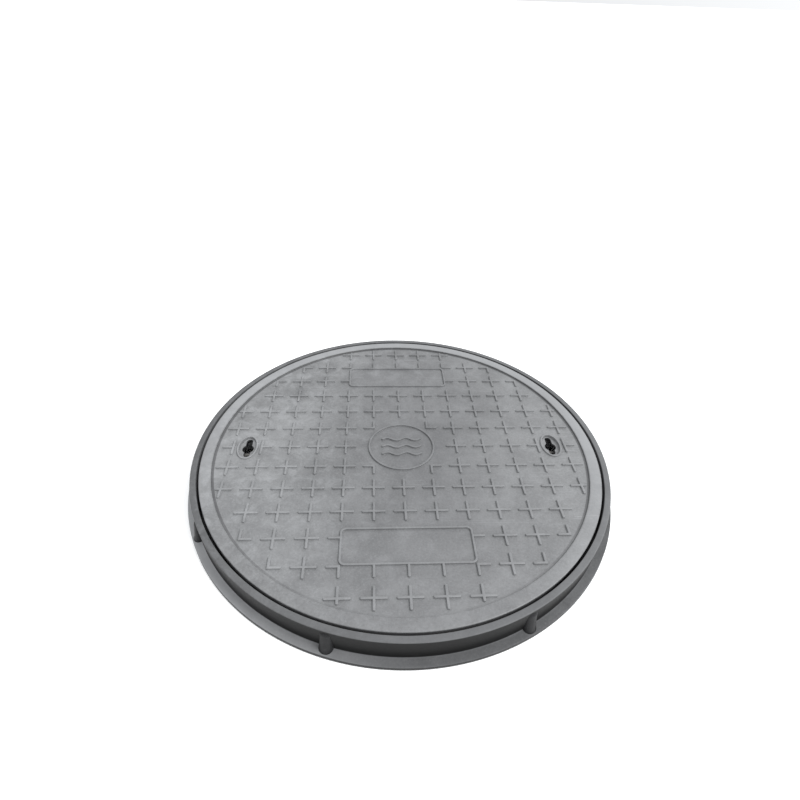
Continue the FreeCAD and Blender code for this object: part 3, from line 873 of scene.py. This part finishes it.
# ---------------------------------------------------------------- the frame
class COVER_OT_frame_moulding(Step, bpy.types.Operator):
    """Moulded ring: base flange, wall, seat ledge and its groove"""
    bl_idname = "cover.frame_moulding"
    bl_label = "Frame moulding"

    def build(self, scene):
        sizes = scene.cover_frame
        edge, small = 1.6 * MM, 0.8 * MM
        section = arc((sizes.flange - edge, edge), edge, -90, 0, 4)
        section += arc((sizes.flange - edge, sizes.flange_edge - edge), edge, 0, 85, 4)
        foot = 2.2 * MM
        section += arc((sizes.wall_foot + foot, sizes.flange_root + foot), foot, 265, 180, 4)
        section += arc((sizes.wall_top - edge, sizes.top - edge), edge, 0, 90, 5)
        section += arc((sizes.bore + small, sizes.top - small), small, 90, 180, 3)
        section += arc((sizes.bore - small, sizes.ledge + small), small, 0, -90, 3)
        section += [(SEAT_HIGH.x, sizes.ledge), (SEAT_HIGH.x, SEAT_LOW.z),
                    (SEAT_INNER, SEAT_LOW.z), (SEAT_INNER, sizes.ledge)]
        section += arc((sizes.opening + small, sizes.ledge - small), small, 90, 180, 3)
        section += arc((sizes.opening + small, small), small, 180, 270, 3)
        bm = bmesh.new()
        rings = [ring(bm, circle(r), z) for r, z in section]
        stack(bm, rings + rings[:1])
        piece = finished("frame_moulding", bm, shared_material("frame_resin"), "frame_body")
        piece.data.set_sharp_from_angle(angle=math.radians(40))
        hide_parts("frame")


def lug_piece(sizes):
    """A half-round post against the wall, facing +X, narrowing upwards to a rounded top."""
    bm = bmesh.new()
    foot, top = sizes.flange_root - 1.0 * MM, sizes.lug_top
    height = top - foot
    narrowing, leaning, dome, buried = 0.20, 0.62, 5.0 * MM, 5.0 * MM
    steps = [(sizes.lug + 1.2 * MM, 0.0), (sizes.lug + 0.4 * MM, 1.6 * MM), (sizes.lug, 3.0 * MM)]
    steps += [(sizes.lug * math.cos(a) ** 0.7, height - dome + dome * math.sin(a))
              for a in np.linspace(0, math.radians(84), 6)]
    rings = []
    for radius, rise in steps:
        up = rise / height
        reach, width = radius * (1 - leaning * up), radius * (1 - narrowing * up)
        plan = [(max(reach * math.cos(t), -buried), width * math.sin(t))
                for t in np.linspace(0, math.tau, 40, endpoint=False)]
        rings.append(ring(bm, plan, foot + rise))
    stack(bm, rings)
    fill_between(bm, [rings[0]])
    fill_between(bm, [rings[-1]])
    bmesh.ops.recalc_face_normals(bm, faces=bm.faces)
    return kept_mesh("lug", bm)


def lug_tree():
    """Lugs spaced evenly round a circle."""
    board, given, tree = new_tree("wall_lugs", {
        "Radius": "NodeSocketFloat", "First turn": "NodeSocketFloat", "Count": "NodeSocketInt",
        "Lug": "NodeSocketObject", "Material": "NodeSocketMaterial"})
    index = board.node("GeometryNodeInputIndex")
    turn = given["First turn"] + index * math.tau / given["Count"]
    row = board.node("GeometryNodeMeshLine", inputs={"Count": given["Count"]})
    place = board.node("ShaderNodeCombineXYZ", inputs={
        "X": given["Radius"] * board.maths("COSINE", turn),
        "Y": given["Radius"] * board.maths("SINE", turn)})
    points = board.node("GeometryNodeSetPosition", inputs={"Geometry": row, "Position": place})
    spin = board.node("ShaderNodeCombineXYZ", inputs={"Z": turn})
    placed = board.node("GeometryNodeInstanceOnPoints", inputs={
        "Points": points, "Instance": board.part(given["Lug"]), "Rotation": spin})
    close_tree(board, placed, given["Material"])
    return tree


class COVER_OT_lugs(Step, bpy.types.Operator):
    """Half-round lugs on the frame's wall"""
    bl_idname = "cover.lugs"
    bl_label = "Wall lugs"

    def build(self, scene):
        sizes = scene.cover_frame
        lug = lug_piece(sizes)
        grown("wall_lugs", lug_tree(), {
            "Radius": sizes.wall_foot, "First turn": sizes.lug_turn, "Count": sizes.lug_count,
            "Lug": lug, "Material": shared_material("lug_resin_shaded")}, "frame_body")
        bpy.data.objects.remove(lug)


class COVER_OT_seat_ring(Step, bpy.types.Operator):
    """Rubber ring in the ledge's groove"""
    bl_idname = "cover.seat_ring"
    bl_label = "Seat ring"

    def build(self, scene):
        outer, inner, low, high = SEAT_HIGH.x, SEAT_INNER, SEAT_LOW.z, SEAT_HIGH.z
        lip, inset, hollow, hollow_rise = 1.4 * MM, 3.2 * MM, 1.5 * MM, 0.6 * MM
        section = [(inner, low), (outer, low), (outer, low + 1.0 * MM)]
        section += arc((outer - inset, high - lip), lip, 60, 150, 5)
        section += arc(((outer + inner) / 2, high + hollow_rise), hollow, -30, -150, 4)
        section += arc((inner + inset, high - lip), lip, 30, 120, 5)
        section += [(inner, low + 0.9 * MM)]
        bm = bmesh.new()
        rings = [ring(bm, circle(r), z) for r, z in section]
        stack(bm, rings + rings[:1])
        piece = finished("seat_ring", bm, shared_material("seat_rubber"), "frame_body")
        piece.data.set_sharp_from_angle(angle=math.radians(50))
        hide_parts("seat_gasket")


class COVER_OT_steelwork(Step, bpy.types.Operator):
    """Steel finish on the moulded-in bars and hoops and on the lift bars"""
    bl_idname = "cover.steelwork"
    bl_label = "Steelwork"

    def build(self, scene):
        steel = shared_material("bar_steel")
        for name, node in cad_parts.items():
            if "bar_" in name or "hoop_" in name:
                node.data.materials.clear()
                node.data.materials.append(steel)


# ---------------------------------------------------------------- the stage
class COVER_OT_stage(Step, bpy.types.Operator):
    """Pale floor, soft light and the camera"""
    bl_idname = "cover.stage"
    bl_label = "Stage"

    def build(self, scene):
        self.floor(scene, half=400.0, drop=0.2 * MM, glow=0.3)
        self.room(scene)
        self.sun("key", (0.85, -0.32, 1.25), power=1.75, spread=20.0)
        self.camera(scene, (-0.0490, -0.6900, 0.6925), (-3.60, 52.10, 2.06), focal=23.38)
        scene.view_settings.view_transform = "Standard"

    @staticmethod
    def floor(scene, half, drop, glow):
        """A plain floor that glows a little outside the flange."""
        bm = bmesh.new()
        corners = ((-half, -half), (half, -half), (half, half), (-half, half))
        bm.faces.new(ring(bm, corners, -drop))
        floor = kept_mesh("floor", bm)
        paint, board, shader, place = new_material("floor_paint")
        x, y, _ = board.split(place)
        board.feed(shader, {"Base Color": (*scene.cover_finishes.floor, 1.0), "Roughness": 0.9,
                            "Emission Color": board.hypot(x, y) > scene.cover_frame.flange,
                            "Emission Strength": glow})
        floor.data.materials.append(paint)

    @staticmethod
    def room(scene):
        """Even light from all round, brighter from the right and from above."""
        scene.world = bpy.data.worlds.new("soft_room")
        scene.world.use_nodes = True
        board = Board(scene.world.node_tree)
        sky = scene.world.node_tree.nodes["Background"]
        x, y, z = board.split(board.node("ShaderNodeTexCoord", output="Generated"))
        bright_side = board.clamp(0.5 - 0.12 * y + 0.45 * x) ** 1.5
        strength = 0.56 + 0.85 * bright_side + 0.50 * board.clamp(z)
        board.feed(sky, {"Strength": strength, "Color": (0.97, 0.985, 1.0, 1.0)})

    @staticmethod
    def sun(name, place, power, spread):
        """A soft-edged sun that shines from a place towards the origin."""
        light = bpy.data.lights.new(name, "SUN")
        light.angle, light.energy = math.radians(spread), power
        lamp = linked(name, light)
        lamp.location = place
        lamp.rotation_euler = (-Vector(place)).to_track_quat("-Z", "Y").to_euler()

    @staticmethod
    def camera(scene, place, angles, focal):
        """Standing in front and to the left, looking down on the lid."""
        lens = bpy.data.cameras.new("camera")
        lens.sensor_width, lens.lens = 36.0, focal
        scene.camera = linked("camera", lens)
        turn, tilt, roll = (math.radians(a) for a in angles)
        scene.camera.matrix_world = (
            Matrix.Translation(place) @ Matrix.Rotation(turn, 4, "Z")
            @ Matrix.Rotation(tilt, 4, "X") @ Matrix.Rotation(roll, 4, "Z"))


# ---------------------------------------------------------------- the panel
class COVER_PT_panel(bpy.types.Panel):
    """Sizes and steps of the cover"""
    bl_label = "Composite Manhole Cover"
    bl_idname = "COVER_PT_panel"
    bl_space_type = "VIEW_3D"
    bl_region_type = "UI"
    bl_category = "Cover"

    def draw(self, context):
        for step in STEPS:
            self.layout.operator(f"cover.{step}")
        for title, group in GROUPS.items():
            box = self.layout.box()
            box.label(text=title.replace("cover_", "").capitalize())
            values = getattr(context.scene, title)
            for name in group.__annotations__:
                box.prop(values, name)


GROUPS = {"cover_lid": LidSizes, "cover_tread": TreadSizes, "cover_outline": OutlineSizes,
          "cover_keyhole": KeyholeSizes, "cover_frame": FrameSizes, "cover_finishes": Finishes}
OPERATORS = (COVER_OT_lid_moulding, COVER_OT_tread, COVER_OT_outlines, COVER_OT_badge,
             COVER_OT_frame_moulding, COVER_OT_lugs, COVER_OT_seat_ring, COVER_OT_steelwork,
             COVER_OT_stage)
STEPS = [step.bl_idname.removeprefix("cover.") for step in OPERATORS]


def register():
    for group in GROUPS.values():
        bpy.utils.register_class(group)
    for name, group in GROUPS.items():
        setattr(bpy.types.Scene, name, PointerProperty(type=group))
    for cls in (*OPERATORS, COVER_PT_panel):
        bpy.utils.register_class(cls)


def unregister():
    for cls in (COVER_PT_panel, *reversed(OPERATORS)):
        bpy.utils.unregister_class(cls)
    for name in GROUPS:
        delattr(bpy.types.Scene, name)
    for group in reversed(GROUPS.values()):
        bpy.utils.unregister_class(group)


def main():
    register()
    for step in STEPS:
        getattr(bpy.ops.cover, step)()
    bpy.context.view_layer.update()


if __name__ == "__main__":
    main()
